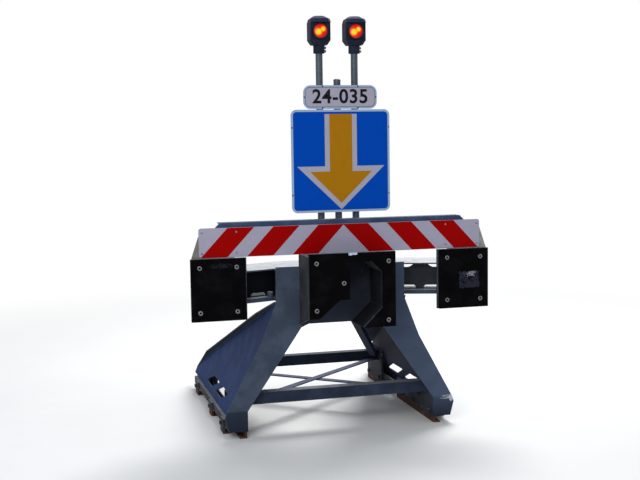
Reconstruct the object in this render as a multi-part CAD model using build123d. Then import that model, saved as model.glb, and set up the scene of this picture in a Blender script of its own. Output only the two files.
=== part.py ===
from build123d import *
from math import atan, cos, sin, sqrt
import os

# Railway buffer stop: a sliding frame of folded and welded plate that stands on two rails.
# Millimetres. X runs across the track, Y away from the train, Z up.
# Heights are worked out from the top of the rail head and moved at the end,
# so that the origin is under the middle of the frame, level with its lowest point.

# Track
rail_spacing = 1507.0
rail_head = 72.0
head_depth = 38.0

# Buffer faces
buffer_spacing = 1750.0
pad_width = 368.0
pad_height = 420.0
pad_thick = 20.0
pad_middle = 1005.0
pad_bolt_spacing_across = 250.0
pad_bolt_spacing_high = 300.0
pad_bolt_hole = 11.0
buffer_plate_thick = 15.0
buffer_plate_margin = 10.0

# Crossbeam with arms that sweep forward to the buffer plates
beam_past_buffer = 75.0
beam_back = 590.0
beam_top = 1115.0
beam_plate = 10.0
beam_inside = 184.0
beam_lip = 18.0
arm_front = 147.0
arm_back_start = 330.0
arm_end_back = 319.0
lower_cut = 130.0
web_set_back = 65.0
web_end_gap = 13.5
web_plate = 12.0
stiffener_from_end = 134.0
high_notch_width = 104.0
high_notch_depth = 28.0
high_notch_first = 52.0
high_notch_pitch = 191.0
low_notch_width = 112.0
low_notch_height = 28.0
low_notch_first = 60.0
low_notch_pitch = 162.0
low_notch_corner = 20.0

# Folded legs: a front face and a leaning side web
leg_plate = 10.0
leg_front = 100.0
leg_behind_box = 10.0
leg_knee = 700.0
leg_rise = 13.0
foot_inner_reach = 76.5
foot_outer_reach = 68.5
foot_bottom_reach = 54.5
foot_widest_reach = 81.5
foot_top = 139.0
foot_widest_height = 101.0
flare_top = 600.0
web_foot_reach = 50.5
web_lean_run = 340.0
web_bottom = 54.0
web_top = 880.0
web_shoulder_y = 1540.0
web_shoulder = 291.0
web_end = 1900.0
web_end_height = 90.0
flange_width = 100.0
flange_plate = 10.0
flange_start = 30.0
flange_tail = 20.0
window_low = 98.0
window_high = 175.0
window_length = 248.0
window_slant = 220.0
window_pitch = 404.0
window_start = 500.0
window_count = 2
window_corner = 4.0

# Shoe on the rail
jaw_gap = 19.0
shoe_sole = 20.0
shoe_inner_wall = 12.0
shoe_outer_wall = 36.0
shoe_end = 1750.0
jaw_plate = 15.0
hook_gap = 3.0
jaw_nose = 36.0
jaw_nose_thick = 9.0
jaw_front_length = 820.0
jaw_front_top = 110.0
jaw_bracket_length = 220.0
jaw_rear_start = 1320.0
jaw_rear_length = 380.0
outer_jaw_length = 120.0
outer_jaw_places = (270.0, 780.0, 1480.0)

# Bars between the legs
bar_side = 82.0
bar_wall = 6.0
bar_top = 243.0
front_bar_y = 200.0
rear_bar_y = 1390.0
brace_width = 60.0
brace_plate = 8.0
strut_side = 50.0
strut_wall = 4.0
strut_top_x = 45.0
strut_cover_gap = 10.0

# Centre box with its pad and the pocket that is open below
box_width = 600.0
box_reach = 180.0
box_wall = 12.0
box_pad_thick = 20.0
face_top = 1240.0
roof_drop = 24.0
box_bottom = 728.0
lip_bottom = 803.0
lip_reach = 234.0
sill_reach = 90.0
sill_height = 925.0
pocket_left_reach = 22.0
pocket_right_reach = 209.0
pocket_top = 1175.0
pocket_corner = 72.0
pocket_shoulder = 863.0
pocket_exit = 72.0
pocket_lining = 10.0

# Marker board, its carrier and the gussets at its ends
board_width = 2000.0
board_height = 200.0
board_bottom = 1219.0
board_plate = 3.0
board_front = 20.0
board_corner = 18.0
carrier_inset = 144.0
carrier_reach = 6.0
carrier_rise = 31.0
carrier_height = 150.0
carrier_depth = 85.0
carrier_wall = 5.0
gusset_plate = 6.0
gusset_reach = 52.0
gusset_shoulder_reach = 3.0
gusset_height = 146.0
gusset_length = 292.0

# Sign posts and signs
post_outer = 48.3
post_wall = 3.2
post_spacing = 250.0
post_top = 2580.0
centre_post_top = 2393.0
sign_side = 700.0
sign_bottom = 1497.0
sign_corner = 40.0
sign_plate = 3.0
sign_front = 58.0
number_width = 520.0
number_height = 160.0
number_gap = 4.0
number_corner = 50.0
clamp_wall = 6.0
clamp_height = 40.0
clamp_inset = 120.0
clamp_lug = 40.0

# Lamps
neck_radius = 39.0
neck_height = 55.0
lamp_width = 142.0
lamp_depth = 136.0
lamp_height = 150.0
lamp_corner = 20.0
bowl_height = 32.0
bowl_inset = 18.0
hood_height = 44.0
hood_overhang = 14.0
hood_shoulder_height = 25.0
hood_shoulder_inset = 7.0
hood_crown_inset = 33.0
recess_depth = 16.0
recess_margin = 8.0
lens_radius = 46.0
lens_thick = 14.0
lens_height = 93.0

os.makedirs("parts", exist_ok=True)

# Worked-out places
rail_x = rail_spacing / 2
shoe_width = rail_head + 2 * jaw_gap
jaw_drop = head_depth + hook_gap + jaw_nose_thick
frame_middle = (web_end - box_reach - box_pad_thick) / 2
web_front = leg_front + leg_plate
web_foot = rail_x + web_foot_reach
web_knee = web_foot - web_lean_run
lean_angle = atan(web_lean_run / web_top)
box_half = box_width / 2
buffer_x = buffer_spacing / 2
beam_half = buffer_x + beam_past_buffer
plate_back = pad_thick + buffer_plate_thick
post_y = board_front + board_plate + gusset_plate + carrier_depth + post_outer / 2


def save(name, shape):
    """Moves a piece to the base frame and writes it."""
    export_step(Pos(0, -frame_middle, jaw_drop) * shape, "parts/" + name + ".step")


def save_pair(name, right_hand):
    """Writes the right-hand piece and its mirror image on the left."""
    save(name + "_right", right_hand)
    save(name + "_left", mirror(right_hand, about=Plane.YZ))


def block(x0, x1, y0, y1, z0, z1):
    """A plain bar between two corners."""
    middle = Pos((x0 + x1) / 2, (y0 + y1) / 2, (z0 + z1) / 2)
    return middle * Box(x1 - x0, y1 - y0, z1 - z0)


def front_plate(points, y0, thick):
    """A plate with an outline given in X and Z, its front face at y0."""
    outline = make_face(Polyline(*points, close=True))
    return extrude(Plane.XZ.offset(-y0) * outline, -thick)


def flat_plate(points, z0, thick):
    """A level plate with an outline given in X and Y, its underside at z0."""
    outline = make_face(Polyline(*points, close=True))
    return extrude(Plane.XY.offset(z0) * outline, thick)


def both_sides(points):
    """A closed outline from its right-hand half."""
    return points + [(-x, y) for (x, y) in reversed(points)]


def web_x(up):
    """Outside face of the leaning side web at a height."""
    return web_foot - web_lean_run * up / web_top


# Front faces of the legs, each with a cheek that reaches back between the beam's flanges
foot_inner = rail_x - foot_inner_reach
foot_outer = rail_x + foot_outer_reach
leg_inner = box_half - leg_behind_box
leg_outline = [
    (foot_inner, foot_top),
    (foot_inner, 0),
    (rail_x + foot_bottom_reach, 0),
    (rail_x + foot_widest_reach, foot_widest_height),
    (foot_outer, foot_top),
    (web_x(flare_top), flare_top),
    (web_knee, web_top),
    (web_knee, beam_top + leg_rise),
    (leg_inner, beam_top + leg_rise),
    (leg_inner, leg_knee),
]
beam_ceiling = beam_top - beam_plate
beam_floor = beam_ceiling - beam_inside
centre_web_y = arm_front + web_set_back
cheek = block(web_knee - leg_plate, web_knee, web_front, centre_web_y, beam_floor, beam_ceiling)
save_pair("leg_face", front_plate(leg_outline, leg_front, leg_plate) + cheek)

# Leaning side webs with slanted windows
web_plane = Plane(origin=(web_foot, 0, 0), x_dir=(0, 1, 0), z_dir=(cos(lean_angle), 0, sin(lean_angle)))
web_outline = [
    (web_front, web_bottom),
    (web_end, web_bottom),
    (web_end, web_end_height),
    (web_shoulder_y, web_shoulder),
    (web_front, web_top),
]
web_face = make_face(Polyline(*web_outline, close=True))
for place in range(window_count):
    start = window_start + place * window_pitch
    window_outline = [
        (start, window_high),
        (start + window_length, window_high),
        (start + window_length + window_slant, window_low),
        (start + window_slant, window_low),
    ]
    window = make_face(Polyline(*window_outline, close=True))
    web_face -= fillet(window.vertices(), window_corner)
side_profile = extrude(Plane.YZ * web_face, foot_outer)
leaning_sheet = extrude(web_plane * Rectangle(2 * web_end, 2 * beam_top), -leg_plate)
save_pair("side_web", side_profile & leaning_sheet)

# Sloping cover plates, wide behind the box, that taper to a flange on each web's top edge
slope_run = web_shoulder_y - web_front
slope_fall = web_top - web_shoulder
slope_length = sqrt(slope_run ** 2 + slope_fall ** 2)


def top_flange():
    """A plate on the web's sloping top edge that tapers to a flange and then to the web's end."""
    low_x = web_x(web_shoulder) - leg_plate / 2
    high_x = web_knee - leg_plate / 2
    cover = make_face(Polyline(
        (low_x - flange_width / 2, web_shoulder_y, web_shoulder),
        (low_x + flange_width / 2, web_shoulder_y, web_shoulder),
        (high_x + flange_width / 2, web_front, web_top),
        (flange_start, web_front, web_top),
        close=True))
    tail_y = web_end - flange_tail
    tail_z = web_end_height + (web_shoulder - web_end_height) * flange_tail / (web_end - web_shoulder_y)
    tail = make_face(Polyline(
        (low_x - leg_plate / 2, web_shoulder_y, web_shoulder),
        (low_x + flange_width / 2, web_shoulder_y, web_shoulder),
        (web_x(tail_z), tail_y, tail_z),
        (web_x(tail_z) - leg_plate, tail_y, tail_z),
        close=True))
    slope_up = (0, slope_fall / slope_length, slope_run / slope_length)
    return extrude(cover, flange_plate, dir=slope_up) + extrude(tail, flange_plate, dir=slope_up)


save_pair("top_flange", top_flange())

# Shoes that slide on the rail heads
shoe_inner = rail_x - shoe_width / 2
shoe_outer = rail_x + shoe_width / 2
shoe = block(shoe_inner, shoe_outer, web_front, shoe_end, 0, web_bottom)
shoe -= block(shoe_inner + shoe_inner_wall, shoe_outer - shoe_outer_wall, web_front, shoe_end,
              shoe_sole, web_bottom)
save_pair("rail_shoe", shoe)

# Jaw plates beside the rail head, with hooks that reach under it
jaw_inner = shoe_inner - jaw_plate
front_jaw_end = web_front + jaw_front_length
rear_jaw_end = jaw_rear_start + jaw_rear_length
front_jaw = block(jaw_inner, shoe_inner, web_front, front_jaw_end, -jaw_drop, jaw_front_top)
front_jaw += block(jaw_inner, shoe_inner, web_front, web_front + jaw_bracket_length, -jaw_drop, bar_top)
rear_jaw = block(jaw_inner, shoe_inner, jaw_rear_start, rear_jaw_end, -jaw_drop, bar_top)
save_pair("inner_jaws", Compound([front_jaw, rear_jaw]))
hook_top = jaw_nose_thick - jaw_drop
outer_jaws = []
hooks = []
for y in outer_jaw_places:
    y_end = y + outer_jaw_length
    outer_jaws.append(block(shoe_outer, shoe_outer + jaw_plate, y, y_end, -jaw_drop, web_bottom))
    hooks.append(block(shoe_outer - jaw_nose, shoe_outer, y, y_end, -jaw_drop, hook_top))
save_pair("outer_jaws", Compound(outer_jaws))
for start, end in ((web_front, front_jaw_end), (jaw_rear_start, rear_jaw_end)):
    hooks.append(block(shoe_inner, shoe_inner + jaw_nose, start, end, -jaw_drop, hook_top))
save_pair("rail_hooks", Compound(hooks))

# Front and rear bars, square tubes between the jaw plates
bar_half = jaw_inner
bar_bottom = bar_top - bar_side


def cross_bar(y0):
    """A square tube across the track."""
    tube = block(-bar_half, bar_half, y0, y0 + bar_side, bar_bottom, bar_top)
    return tube - block(-bar_half, bar_half, y0 + bar_wall, y0 + bar_side - bar_wall,
                        bar_bottom + bar_wall, bar_top - bar_wall)


save("front_bar", cross_bar(front_bar_y))
save("rear_bar", cross_bar(rear_bar_y))

# Flat cross braces between the two bars
bay_front = front_bar_y + bar_side


def cross_brace(side, up):
    """A flat bar from one bar's end to the other bar's opposite end."""
    start = Vector(side * (bar_half - brace_width), bay_front, up)
    finish = Vector(-side * (bar_half - brace_width), rear_bar_y, up)
    line = Plane(origin=(start + finish) / 2, x_dir=finish - start, z_dir=(0, 0, 1))
    long_bar = extrude(line * Rectangle((finish - start).length + 2 * brace_width, brace_width), brace_plate)
    return long_bar & block(-bar_half, bar_half, bay_front, rear_bar_y, up, up + brace_plate)


save("brace_lower", cross_brace(1, bar_bottom))
save("brace_upper", cross_brace(-1, bar_bottom + brace_plate))

# Crossbeam flanges: level plates whose arms end on the buffer plates
web_tip = beam_half - web_plate
arm_sweep = (centre_web_y - plate_back - web_end_gap) / (web_tip - web_knee)
sweep_angle = atan(arm_sweep)
arm_meets_plate = web_knee + (arm_front - plate_back) / arm_sweep


def flange_outline(cut):
    """The beam's outline seen from above, its back edge moved forward by a cut."""
    return both_sides([
        (web_knee, web_front),
        (web_knee, arm_front),
        (arm_meets_plate, plate_back),
        (beam_half, plate_back),
        (beam_half, arm_end_back - cut),
        (arm_back_start, beam_back - cut),
    ])


save("beam_top_plate", flat_plate(flange_outline(0), beam_ceiling, beam_plate))
lower_plate = flat_plate(flange_outline(lower_cut), beam_floor - beam_plate, beam_plate)
lip_thick = beam_plate / cos(sweep_angle)
lip_outline = [
    (web_knee - beam_plate, web_front),
    (web_knee, web_front),
    (web_knee, arm_front),
    (arm_meets_plate, plate_back),
    (arm_meets_plate, plate_back + lip_thick),
    (web_knee, arm_front + lip_thick),
    (web_knee - beam_plate, arm_front + lip_thick),
]
lip = flat_plate(lip_outline, beam_floor - beam_plate - beam_lip, beam_lip)
save("beam_bottom_plate", lower_plate + lip + mirror(lip, about=Plane.YZ))


# Crossbeam web, swept like the arms and notched along both flanges
def web_line(x):
    """Front face of the beam's web on an arm."""
    return centre_web_y - arm_sweep * (x - web_knee)


web_plan = both_sides([(web_tip, web_line(web_tip)), (web_knee, centre_web_y)])
web_plan += both_sides([(-web_tip, web_line(web_tip) + web_plate / cos(sweep_angle)),
                        (-web_knee, centre_web_y + web_plate)])
beam_web = flat_plate(web_plan, beam_floor, beam_inside)
arc_radius = ((high_notch_width / 2) ** 2 + high_notch_depth ** 2) / (2 * high_notch_depth)
for place in (0, 1):
    high_x = web_knee + high_notch_first + place * high_notch_pitch
    low_x = web_knee + low_notch_first + place * low_notch_pitch
    high_notch = Pos(high_x, 0, beam_ceiling + arc_radius - high_notch_depth)
    low_notch = Pos(low_x, 0, beam_floor)
    high_cutter = high_notch * Rot(90, 0, 0) * Cylinder(arc_radius, 2 * beam_back)
    low_face = RectangleRounded(low_notch_width, 2 * low_notch_height, low_notch_corner)
    low_cutter = low_notch * extrude(Plane.XZ * low_face, beam_back, both=True)
    for cutter in (high_cutter, low_cutter):
        beam_web -= cutter
        beam_web -= mirror(cutter, about=Plane.YZ)
save("beam_web", beam_web)

# Plates that close the arms' ends and stiffen them behind the buffer plates
end_plate = block(web_tip, beam_half, plate_back, arm_end_back - lower_cut, beam_floor, beam_ceiling)
rib_x = beam_half - stiffener_from_end
rib_front = [
    (rib_x, plate_back),
    (rib_x + web_plate, plate_back),
    (rib_x + web_plate, web_line(rib_x + web_plate)),
    (rib_x, web_line(rib_x)),
]
save_pair("buffer_bracket", Compound([end_plate, flat_plate(rib_front, beam_floor, beam_inside)]))

# Buffer plates and their black pads
pad_low = pad_middle - pad_height / 2


def bolt_holes(plate, y0, thick):
    """Drills the four fixing holes of a buffer pad."""
    for dx in (-1, 1):
        for dz in (-1, 1):
            bolt_x = buffer_x + dx * pad_bolt_spacing_across / 2
            bolt_z = pad_middle + dz * pad_bolt_spacing_high / 2
            plate -= Pos(bolt_x, y0 + thick / 2, bolt_z) * Rot(90, 0, 0) * Cylinder(pad_bolt_hole, thick)
    return plate


pad = block(buffer_x - pad_width / 2, buffer_x + pad_width / 2, 0, pad_thick, pad_low, pad_low + pad_height)
save_pair("buffer_pad", bolt_holes(pad, 0, pad_thick))
steel = block(buffer_x - pad_width / 2 - buffer_plate_margin, buffer_x + pad_width / 2,
              pad_thick, plate_back, pad_low, pad_low + pad_height)
save_pair("buffer_plate", bolt_holes(steel, pad_thick, buffer_plate_thick))

# Centre box: front plate and pad cut to the pocket, roof, sloping sides and back
inner_front = box_wall - box_reach
inner_back = leg_front - box_wall
roof_top = face_top - roof_drop
face_outline = [
    (-box_half, face_top),
    (box_half, face_top),
    (box_half, box_bottom),
    (pocket_exit, box_bottom),
    (pocket_right_reach, pocket_shoulder),
    (pocket_right_reach, pocket_top - pocket_corner),
    (pocket_right_reach - pocket_corner, pocket_top),
    (-pocket_left_reach, pocket_top),
    (-pocket_left_reach, sill_height),
    (-sill_reach, sill_height),
    (-lip_reach, lip_bottom),
    (-box_half, lip_bottom),
]
save("centre_pad", front_plate(face_outline, -box_reach - box_pad_thick, box_pad_thick))
save("box_front", front_plate(face_outline, -box_reach, box_wall))
save("box_back", block(-box_half, box_half, inner_back, leg_front, box_bottom, roof_top))
save("box_roof", block(-box_half, box_half, inner_front, inner_back, roof_top - box_wall, roof_top))
side_outline = [
    (inner_front, roof_top - box_wall),
    (inner_back, roof_top - box_wall),
    (inner_back, box_bottom),
    (inner_front, lip_bottom),
]
side_face = make_face(Polyline(*side_outline, close=True))
right_side = extrude(Plane.YZ.offset(box_half - box_wall) * side_face, box_wall)
save("box_sides", Compound([right_side, mirror(right_side, about=Plane.YZ)]))

# Lining of the pocket's right-hand side, from the front plate to the back
lining_path = [
    (-pocket_left_reach, pocket_top),
    (pocket_right_reach - pocket_corner, pocket_top),
    (pocket_right_reach, pocket_top - pocket_corner),
    (pocket_right_reach, pocket_shoulder),
    (pocket_exit, box_bottom),
    (-pocket_left_reach, box_bottom),
]
pocket_side = make_face(Polyline(*lining_path, close=True))
lining_face = offset(pocket_side, amount=pocket_lining, kind=Kind.INTERSECTION) - pocket_side
lining = extrude(Plane.XZ.offset(-inner_front) * lining_face, inner_front - inner_back)
lining_side = block(pocket_exit, box_half - box_wall, inner_front, inner_back, box_bottom, pocket_top)
save("pocket_wall", lining & lining_side)

# Struts along the cover plates' inner edges, square tubes from the box's back to the rear bar
strut_top_z = web_top - strut_cover_gap - strut_side / 2 * slope_length / slope_run
strut_start = Vector(strut_top_x, leg_front, strut_top_z)
strut_finish = Vector(bar_half - strut_side, rear_bar_y, bar_top - strut_side / 2)
strut_run = strut_finish - strut_start
strut_line = Plane(origin=strut_start, x_dir=(strut_run.Y, -strut_run.X, 0), z_dir=strut_run)
strut_bore = strut_side - 2 * strut_wall
strut_ring = Rectangle(strut_side, strut_side) - Rectangle(strut_bore, strut_bore)
strut = extrude(strut_line.offset(-strut_side) * strut_ring, strut_run.length + 2 * strut_side)
save_pair("rear_strut", strut & block(0, bar_half, leg_front, rear_bar_y, 0, face_top))

# Marker board, the gussets behind its ends and the channel that carries it
board_half = board_width / 2
board_top = board_bottom + board_height
board = extrude(Plane.XZ.offset(-board_front) * Pos(0, board_bottom + board_height / 2)
                * RectangleRounded(board_width, board_height, board_corner), -board_plate)
save("marker_board", board)
gusset_front = board_front + board_plate
gusset_low = pad_low + pad_height
gusset_outer = board_half + gusset_reach
gusset_outline = [
    (gusset_outer - gusset_length, gusset_low),
    (gusset_outer, gusset_low),
    (board_half + gusset_shoulder_reach, gusset_low + gusset_height),
    (gusset_outer - gusset_length, gusset_low + gusset_height),
]
save_pair("board_gusset", front_plate(gusset_outline, gusset_front, gusset_plate))
carrier_front = gusset_front + gusset_plate
carrier_top = board_top + carrier_rise
carrier_low = carrier_top - carrier_height
carrier_outline = [
    (-board_half + carrier_inset, carrier_top),
    (board_half - carrier_inset, carrier_top),
    (board_half + carrier_reach, carrier_low),
    (-board_half - carrier_reach, carrier_low),
]
carrier = front_plate(carrier_outline, carrier_front, carrier_depth)
carrier -= block(-board_width, board_width, carrier_front + carrier_wall, carrier_front + carrier_depth,
                 carrier_low + carrier_wall, carrier_top - carrier_wall)
save("board_carrier", carrier)

# Posts that stand on the crossbeam behind the carrier
posts = []
for x, top in ((-post_spacing / 2, post_top), (0, centre_post_top), (post_spacing / 2, post_top)):
    outside = Cylinder(post_outer / 2, top - beam_top)
    inside = Cylinder(post_outer / 2 - post_wall, top - beam_top)
    posts.append(Pos(x, post_y, (beam_top + top) / 2) * (outside - inside))
save("sign_posts", Compound(posts))

# Signs on the posts
sign_middle = sign_bottom + sign_side / 2
number_middle = sign_bottom + sign_side + number_gap + number_height / 2
save("arrow_sign", extrude(Plane.XZ.offset(-sign_front) * Pos(0, sign_middle)
                           * RectangleRounded(sign_side, sign_side, sign_corner), -sign_plate))
save("number_plate", extrude(Plane.XZ.offset(-sign_front) * Pos(0, number_middle)
                             * RectangleRounded(number_width, number_height, number_corner), -sign_plate))

# Pipe clamps that hold the signs
sign_back = sign_front + sign_plate
clamps = []
for up in (sign_bottom + clamp_inset, sign_bottom + sign_side - clamp_inset, number_middle):
    for side in (-1, 1):
        ring = Cylinder(post_outer / 2 + clamp_wall, clamp_height)
        lug = Pos(0, (sign_back - post_y) / 2, 0) * Box(clamp_lug, post_y - sign_back, clamp_height)
        clamp = ring + lug - Cylinder(post_outer / 2, clamp_height)
        clamps.append(Pos(side * post_spacing / 2, post_y, up) * clamp)
save("sign_clamps", Compound(clamps))

# Lamps on the outer posts: neck, tapered bowl, body with a recessed front, and an overhanging hood
lamp_low = post_top + neck_height
bowl_top = lamp_low + bowl_height
hood_low = lamp_low + lamp_height


def lamp_outline(inset, deeper):
    """The lamp's outline seen from above, made smaller all round and deeper at the front."""
    plan = Rectangle(lamp_width - 2 * inset, lamp_depth + deeper - 2 * inset)
    return Pos(0, -deeper / 2) * chamfer(plan.vertices(), lamp_corner)


lamp = extrude(Plane.XY.offset(bowl_top) * lamp_outline(0, 0), lamp_height - bowl_height)
recess_half = lamp_width / 2 - recess_margin
recess_back = recess_depth - lamp_depth / 2
lamp -= block(-recess_half, recess_half, -lamp_depth / 2, recess_back, bowl_top, hood_low)
lamp += loft([Plane.XY.offset(lamp_low) * lamp_outline(bowl_inset, 0),
              Plane.XY.offset(bowl_top) * lamp_outline(0, 0)])
hood_steps = []
for up, inset in ((0, 0), (hood_shoulder_height, hood_shoulder_inset), (hood_height, hood_crown_inset)):
    hood_steps.append(Plane.XY.offset(hood_low + up) * lamp_outline(inset, hood_overhang))
lamp += loft(hood_steps, ruled=True)
lamp += Pos(0, 0, post_top + neck_height / 2) * Cylinder(neck_radius, neck_height)
save_pair("lamp", Pos(post_spacing / 2, post_y, 0) * lamp)
lenses = []
for side in (-1, 1):
    middle = Pos(side * post_spacing / 2, post_y + recess_back - lens_thick / 2, lamp_low + lens_height)
    lenses.append(middle * Rot(90, 0, 0) * Cylinder(lens_radius, lens_thick))
save("lamp_lenses", Compound(lenses))
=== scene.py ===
from math import atan2, cos, pi, radians, sin
import bmesh
import bpy
from mathutils import Matrix, Vector


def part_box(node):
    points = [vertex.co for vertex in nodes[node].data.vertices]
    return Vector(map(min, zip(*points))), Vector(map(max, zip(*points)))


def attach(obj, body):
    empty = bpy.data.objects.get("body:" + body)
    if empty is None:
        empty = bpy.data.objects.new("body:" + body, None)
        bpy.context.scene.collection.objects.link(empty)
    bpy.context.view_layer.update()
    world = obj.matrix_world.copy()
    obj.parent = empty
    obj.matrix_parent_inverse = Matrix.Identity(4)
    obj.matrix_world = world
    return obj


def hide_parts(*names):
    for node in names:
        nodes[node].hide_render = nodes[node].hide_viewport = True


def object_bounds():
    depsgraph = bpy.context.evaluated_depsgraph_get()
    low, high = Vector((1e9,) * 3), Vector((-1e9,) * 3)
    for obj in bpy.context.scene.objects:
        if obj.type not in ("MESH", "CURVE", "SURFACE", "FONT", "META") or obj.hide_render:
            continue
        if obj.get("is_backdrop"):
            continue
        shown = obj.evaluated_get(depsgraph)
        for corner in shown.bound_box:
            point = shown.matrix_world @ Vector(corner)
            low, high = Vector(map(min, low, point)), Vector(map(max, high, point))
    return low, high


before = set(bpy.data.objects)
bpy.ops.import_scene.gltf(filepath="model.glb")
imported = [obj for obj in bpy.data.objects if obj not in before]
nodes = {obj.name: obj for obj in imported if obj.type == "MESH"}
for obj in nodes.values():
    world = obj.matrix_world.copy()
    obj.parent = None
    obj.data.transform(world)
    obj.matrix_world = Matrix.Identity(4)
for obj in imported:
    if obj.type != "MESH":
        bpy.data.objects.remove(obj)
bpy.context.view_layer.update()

# Shoes, jaws and hooks: flat bars welded into a trough that the whole stop slides on.
# Rolled steel, painted once and now worn: brown rust from the hooks upwards, grey paint above,
# with hexagon bolts through the jaws that clamp it in place.


def colour(code):
    """A hex sRGB colour as linear values."""
    parts = [int(code[i:i + 2], 16) / 255 for i in (1, 3, 5)]
    linear = [c / 12.92 if c <= 0.04045 else ((c + 0.055) / 1.055) ** 2.4 for c in parts]
    return (*linear, 1.0)


def fill(tree, node, inputs):
    """Sets a node's inputs, or links them to a socket or to another node's own output."""
    for key, value in inputs.items():
        if isinstance(value, bpy.types.Node):
            value = next(end for end in value.outputs if end.enabled)
        if isinstance(value, bpy.types.NodeSocket):
            tree.links.new(value, node.inputs[key])
        else:
            node.inputs[key].default_value = value
    return node


def add(tree, kind, inputs=None, **settings):
    """Adds a node with its settings and its inputs."""
    made = tree.nodes.new(kind)
    for name, value in settings.items():
        setattr(made, name, value)
    return fill(tree, made, inputs or {})


def new_finish(name, base, roughness, metallic=0.0, gloss=0.5):
    """A material, its shader and the place on the object in metres."""
    material = bpy.data.materials.new(name)
    material.use_nodes = True
    tree = material.node_tree
    shader = fill(tree, tree.nodes["Principled BSDF"], {
        "Base Color": colour(base), "Roughness": roughness, "Metallic": metallic,
        "Specular IOR Level": gloss})
    return material, shader, add(tree, "ShaderNodeTexCoord").outputs["Object"]


def patches(tree, place, size, low, high, stretch=(1, 1, 1), detail=4.0):
    """A mask of soft patches about as large as size in metres, stretched along an axis."""
    moved = add(tree, "ShaderNodeMapping", {"Vector": place, "Scale": [1 / s for s in stretch]})
    noise = add(tree, "ShaderNodeTexNoise", {"Vector": moved, "Scale": 1 / size, "Detail": detail,
                                             "Roughness": 0.6})
    return add(tree, "ShaderNodeMapRange", {"Value": noise, "From Min": low, "From Max": high},
               interpolation_type="SMOOTHSTEP")


def weathered_paint(name, base, chalked, dirty, rust_low, rust_high, top_dust_and_highlight=0.75, splashed=-1.0,
                    rain=0.56, top_dust_and_highlight_tone="#92959A", gloss=0.06):
    """Rolled alkyd paint on hot-rolled plate: dull, chalked in patches, with rain streaks of dirt
    and chips, painted shade in brown-grey where it faces down, darker below the splashed height,
    with a pale tone on what faces up that is dust and, on the crossbeam's tops, also a painted
    sunlit highlight, rubbed pale along its edges, and rust that comes through below rust_high
    metres."""
    material, shader, place = new_finish(name, base, 0.68, gloss=gloss)
    tree = material.node_tree
    facing = add(tree, "ShaderNodeNewGeometry").outputs["Normal"]
    upward = add(tree, "ShaderNodeSeparateXYZ", {0: facing}).outputs["Z"]
    height = add(tree, "ShaderNodeSeparateXYZ", {0: place}).outputs["Z"]
    chalk = patches(tree, place, 0.16, 0.38, 0.66, detail=6.0)
    streaks = patches(tree, place, 0.045, rain, rain + 0.28, stretch=(1, 1, 7))
    chips = patches(tree, place, 0.011, 0.70, 0.75)
    # Painted shade: what faces down is darker and brown-grey.
    painted_down_shade = add(tree, "ShaderNodeMapRange", {"Value": upward, "From Min": -0.12,
                                                 "From Max": -0.34})
    wetted = add(tree, "ShaderNodeMapRange", {"Value": height, "From Min": splashed,
                                              "From Max": splashed + 0.012,
                                              "To Min": 0.8, "To Max": 0.0})
    # A pale tone on what faces up: dust, and on the crossbeam's tops also a painted sunlit
    # highlight.
    level = add(tree, "ShaderNodeMapRange", {"Value": upward, "From Min": 0.75, "From Max": 1.0,
                                             "To Max": top_dust_and_highlight})
    uneven = patches(tree, place, 0.08, 0.36, 0.62, detail=8.0)
    drifts = add(tree, "ShaderNodeMapRange", {"Value": uneven, "To Min": 0.74})
    dust_and_highlight = add(tree, "ShaderNodeMath", {0: level, 1: drifts}, operation="MULTIPLY")
    # The paint is rubbed off about 1 mm along each edge, drawn 4 mm wide so that it shows.
    rounded = add(tree, "ShaderNodeBevel", {"Radius": 0.004}, samples=4)
    agree = add(tree, "ShaderNodeVectorMath", {0: rounded, 1: facing}, operation="DOT_PRODUCT")
    at_edge = add(tree, "ShaderNodeMapRange", {"Value": agree, "From Min": 0.985, "From Max": 0.90})
    rubbed = add(tree, "ShaderNodeMath", {0: at_edge, 1: patches(tree, place, 0.020, 0.47, 0.68)},
                 operation="MULTIPLY")
    low_down = add(tree, "ShaderNodeMapRange", {"Value": height, "From Min": rust_low,
                                                "From Max": rust_high,
                                                "To Min": 0.30, "To Max": -0.12})
    flakes = add(tree, "ShaderNodeTexNoise", {"Vector": place, "Scale": 26.0, "Detail": 7.0,
                                              "Roughness": 0.66})
    eaten = add(tree, "ShaderNodeMath", {0: flakes, 1: low_down}, operation="ADD")
    rust = add(tree, "ShaderNodeMapRange", {"Value": eaten, "From Min": 0.63, "From Max": 0.70})
    rust_tone = add(tree, "ShaderNodeMix", {0: flakes, 6: colour("#3A2218"), 7: colour("#6A4430")},
                    data_type="RGBA")
    skin = colour(base)
    for mask, tone in ((chalk, colour(chalked)), (streaks, colour(dirty)),
                       (chips, colour("#6F747D")), (painted_down_shade, colour("#3D3F44")),
                       (wetted, colour(dirty)), (dust_and_highlight, colour(top_dust_and_highlight_tone)),
                       (rubbed, colour("#7F858E")), (rust, rust_tone)):
        skin = add(tree, "ShaderNodeMix", {0: mask, 6: skin, 7: tone}, data_type="RGBA")
    dull = add(tree, "ShaderNodeMapRange", {"Value": rust, "To Min": 0.68, "To Max": 0.9})
    # Roller stipple is 1 mm apart on the real paint and is drawn 5 mm apart, so that it shows.
    stipple = add(tree, "ShaderNodeTexNoise", {"Vector": place, "Scale": 200.0, "Detail": 2.0})
    relief = add(tree, "ShaderNodeMath", {0: stipple, 1: rust}, operation="ADD")
    bump = add(tree, "ShaderNodeBump", {"Strength": 0.25, "Distance": 0.0008, "Height": relief,
                                        "Normal": rounded})
    fill(tree, shader, {"Base Color": skin, "Roughness": dull, "Normal": bump})
    return material


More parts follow.
